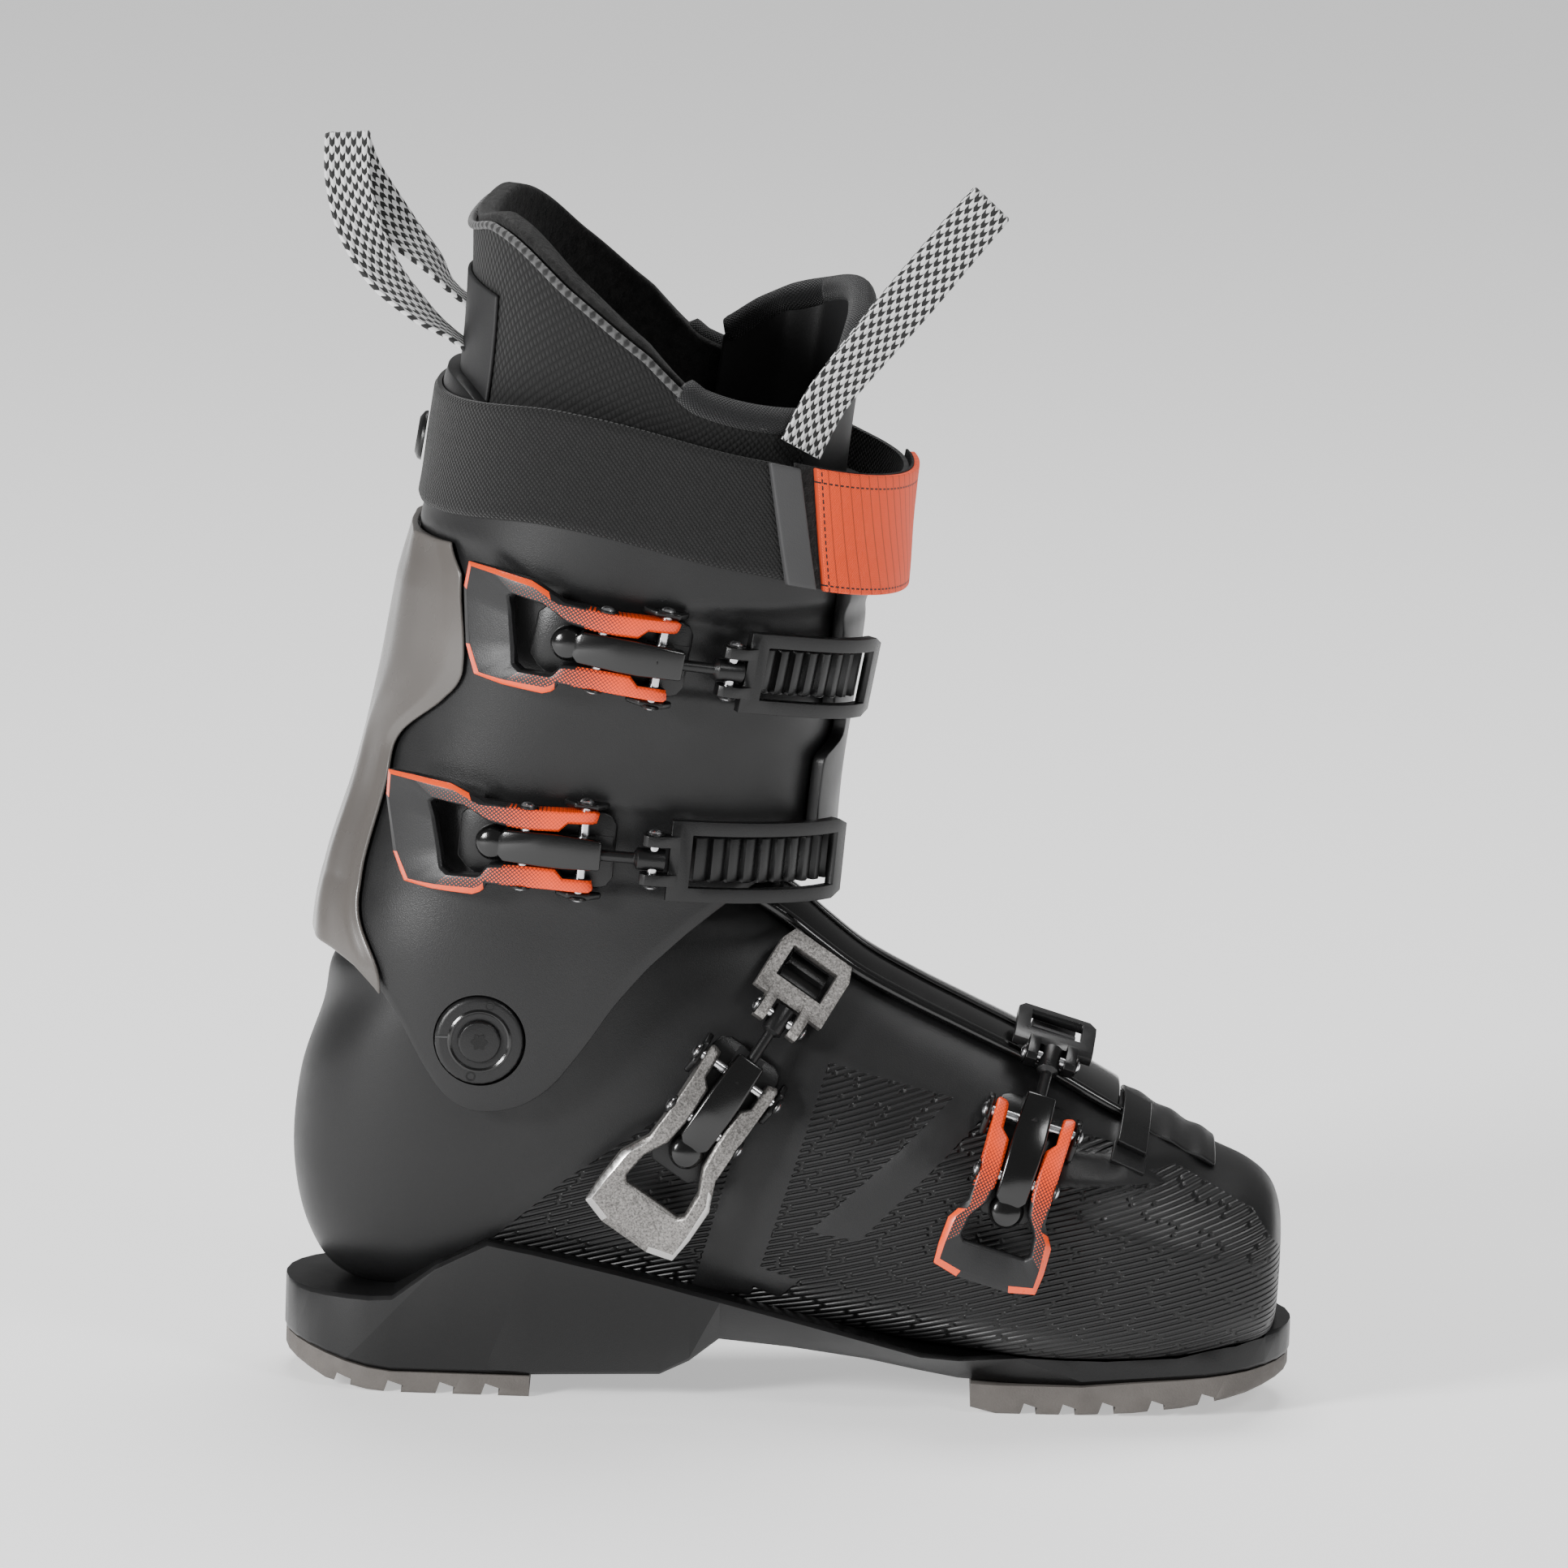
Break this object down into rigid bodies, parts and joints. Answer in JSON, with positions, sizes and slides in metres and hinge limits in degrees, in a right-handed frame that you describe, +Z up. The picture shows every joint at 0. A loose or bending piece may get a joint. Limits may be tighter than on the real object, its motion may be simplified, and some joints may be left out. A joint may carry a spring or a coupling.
{
  "type": "alpine ski boot",
  "caption": "Rigid overlap-shell alpine ski boot, right foot, with a hinged cuff, lever buckles, liner, power strap and rubber treads.",
  "frame": {"origin": "on the ground, at the middle of the sole", "axes": "+X towards the toe, -Y the outer (buckle) side of a right boot, +Z up"},
  "size_m": [0.3114, 0.1435, 0.3878],
  "materials": {
    "shell_plastic": "satin moulded polyurethane",
    "instep_flap": "glossy moulded polyurethane",
    "sole_chassis": "satin black moulding",
    "cuff_plastic": "satin moulded polyurethane",
    "spine_plastic": "semi-gloss taupe plastic",
    "sole_rubber": "matt taupe rubber",
    "board_plastic": "matt",
    "trim_plastic": "satin",
    "liner_fabric": "embossed textile",
    "strap_webbing": "woven",
    "orange_tab": "coated webbing",
    "loop_webbing": "black and white weave",
    "steel_pin": "polished",
    "gunmetal": "bead blasted",
    "orange_lever": "anodised orange and black"
  },
  "bodies": {
    "shell": {"lower_shell": "shell_plastic", "sole_chassis": "sole_chassis", "heel_sole": "sole_rubber", "toe_sole": "sole_rubber", "boot_board": "board_plastic", "instep_flap": "instep_flap", "toe_gusset": "shell_plastic", "liner_foot": "liner_fabric", "pivot_screw_outer": "trim_plastic", "pivot_screw_inner": "trim_plastic", "instep_buckle_base": "trim_plastic", "instep_buckle_ladder": "trim_plastic", "instep_buckle_lever_pin": "steel_pin", "toe_buckle_base": "trim_plastic", "toe_buckle_ladder": "trim_plastic", "toe_buckle_lever_pin": "steel_pin"},
    "cuff": {"cuff": "cuff_plastic", "cuff_spine": "spine_plastic", "pivot_disc_outer": "trim_plastic", "pivot_disc_inner": "trim_plastic", "power_strap": "strap_webbing", "power_strap_tab": "orange_tab", "strap_rivet": "trim_plastic", "liner_cuff": "liner_fabric", "liner_tongue": "liner_fabric", "heel_pull_loop": "loop_webbing", "tongue_pull_loop": "loop_webbing", "upper_buckle_base": "trim_plastic", "upper_buckle_ladder": "trim_plastic", "upper_buckle_lever_pin": "steel_pin", "lower_buckle_base": "trim_plastic", "lower_buckle_ladder": "trim_plastic", "lower_buckle_lever_pin": "steel_pin"},
    "upper_buckle_lever_arm": {"upper_buckle_lever": "orange_lever", "upper_buckle_link_pin": "steel_pin"},
    "upper_buckle_link_arm": {"upper_buckle_link": "trim_plastic"},
    "upper_buckle_rod_arm": {"upper_buckle_rod": "trim_plastic", "upper_buckle_bail_pin": "steel_pin"},
    "upper_buckle_bail_arm": {"upper_buckle_bail": "trim_plastic"},
    "lower_buckle_lever_arm": {"lower_buckle_lever": "orange_lever", "lower_buckle_link_pin": "steel_pin"},
    "lower_buckle_link_arm": {"lower_buckle_link": "trim_plastic"},
    "lower_buckle_rod_arm": {"lower_buckle_rod": "trim_plastic", "lower_buckle_bail_pin": "steel_pin"},
    "lower_buckle_bail_arm": {"lower_buckle_bail": "trim_plastic"},
    "instep_buckle_lever_arm": {"instep_buckle_lever": "gunmetal", "instep_buckle_link_pin": "steel_pin"},
    "instep_buckle_link_arm": {"instep_buckle_link": "trim_plastic"},
    "instep_buckle_rod_arm": {"instep_buckle_rod": "trim_plastic", "instep_buckle_bail_pin": "steel_pin"},
    "instep_buckle_bail_arm": {"instep_buckle_bail": "gunmetal"},
    "toe_buckle_lever_arm": {"toe_buckle_lever": "orange_lever", "toe_buckle_link_pin": "steel_pin"},
    "toe_buckle_link_arm": {"toe_buckle_link": "trim_plastic"},
    "toe_buckle_rod_arm": {"toe_buckle_rod": "trim_plastic", "toe_buckle_bail_pin": "steel_pin"},
    "toe_buckle_bail_arm": {"toe_buckle_bail": "trim_plastic"}
  },
  "joints": [
    {"name": "cuff_flex", "type": "hinge", "parent": "shell", "child": "cuff", "pos_m": [-0.098, 0, 0.116], "axis": [0, 1, 0], "range_deg": [-2, 8], "stiffness_Nm_per_rad": 60},
    {"name": "upper_buckle_lever_open", "type": "hinge", "parent": "cuff", "child": "upper_buckle_lever_arm", "pos_m": [-0.04673, -0.06636, 0.23886], "axis": [0.165, 0, 0.9863], "range_deg": [0, 130]},
    {"name": "upper_buckle_link_swing", "type": "hinge", "parent": "upper_buckle_lever_arm", "child": "upper_buckle_link_arm", "pos_m": [-0.06457, -0.07121, 0.24184], "axis": [0.165, 0, 0.9863], "range_deg": [-130, 0]},
    {"name": "upper_buckle_rod_adjust", "type": "slide", "parent": "upper_buckle_link_arm", "child": "upper_buckle_rod_arm", "axis": [0.9188, 0.3637, -0.1537], "range_m": [-0.0005, 0.003]},
    {"name": "upper_buckle_bail_swing", "type": "hinge", "parent": "upper_buckle_rod_arm", "child": "upper_buckle_bail_arm", "pos_m": [-0.02483, -0.0627, 0.23519], "axis": [-0.165, 0, -0.9863], "range_deg": [0, 30]},
    {"name": "lower_buckle_lever_open", "type": "hinge", "parent": "cuff", "child": "lower_buckle_lever_arm", "pos_m": [-0.06823, -0.06156, 0.178], "axis": [0.0698, 0, 0.9976], "range_deg": [0, 130]},
    {"name": "lower_buckle_link_swing", "type": "hinge", "parent": "lower_buckle_lever_arm", "child": "lower_buckle_link_arm", "pos_m": [-0.08587, -0.06453, 0.17924], "axis": [0.0698, 0, 0.9976], "range_deg": [-130, 0]},
    {"name": "lower_buckle_rod_adjust", "type": "slide", "parent": "lower_buckle_link_arm", "child": "lower_buckle_rod_arm", "axis": [0.9918, 0.1074, -0.0694], "range_m": [-0.0005, 0.003]},
    {"name": "lower_buckle_bail_swing", "type": "hinge", "parent": "lower_buckle_rod_arm", "child": "lower_buckle_bail_arm", "pos_m": [-0.0466, -0.0642, 0.17649], "axis": [-0.0698, 0, -0.9976], "range_deg": [0, 30]},
    {"name": "instep_buckle_lever_open", "type": "hinge", "parent": "shell", "child": "instep_buckle_lever_arm", "pos_m": [-0.01891, -0.04896, 0.10597], "axis": [-0.829, 0, 0.5592], "range_deg": [0, 130]},
    {"name": "instep_buckle_link_swing", "type": "hinge", "parent": "instep_buckle_lever_arm", "child": "instep_buckle_link_arm", "pos_m": [-0.02841, -0.0555, 0.09188], "axis": [-0.829, 0, 0.5592], "range_deg": [-130, 0]},
    {"name": "instep_buckle_rod_adjust", "type": "slide", "parent": "instep_buckle_link_arm", "child": "instep_buckle_rod_arm", "axis": [0.5072, 0.4211, 0.752], "range_m": [-0.0005, 0.003]},
    {"name": "instep_buckle_bail_swing", "type": "hinge", "parent": "instep_buckle_rod_arm", "child": "instep_buckle_bail_arm", "pos_m": [-0.00667, -0.044, 0.12411], "axis": [0.829, 0, -0.5592], "range_deg": [0, 16]},
    {"name": "toe_buckle_lever_open", "type": "hinge", "parent": "shell", "child": "toe_buckle_lever_arm", "pos_m": [0.07191, -0.04698, 0.09459], "axis": [-0.9603, 0, 0.279], "range_deg": [0, 130]},
    {"name": "toe_buckle_link_swing", "type": "hinge", "parent": "toe_buckle_lever_arm", "child": "toe_buckle_link_arm", "pos_m": [0.06739, -0.05818, 0.07905], "axis": [-0.9603, 0, 0.279], "range_deg": [-130, 0]},
    {"name": "toe_buckle_rod_adjust", "type": "slide", "parent": "toe_buckle_link_arm", "child": "toe_buckle_rod_arm", "axis": [0.1769, 0.7733, 0.6089], "range_m": [-0.0005, 0.003]},
    {"name": "toe_buckle_bail_swing", "type": "hinge", "parent": "toe_buckle_rod_arm", "child": "toe_buckle_bail_arm", "pos_m": [0.07686, -0.03226, 0.11165], "axis": [0.9603, 0, -0.279], "range_deg": [0, 30]}
  ],
  "couplings": [
    {"joint": "upper_buckle_link_swing", "follows": "upper_buckle_lever_open", "ratio": -1},
    {"joint": "lower_buckle_link_swing", "follows": "lower_buckle_lever_open", "ratio": -1},
    {"joint": "instep_buckle_link_swing", "follows": "instep_buckle_lever_open", "ratio": -1},
    {"joint": "toe_buckle_link_swing", "follows": "toe_buckle_lever_open", "ratio": -1}
  ]
}
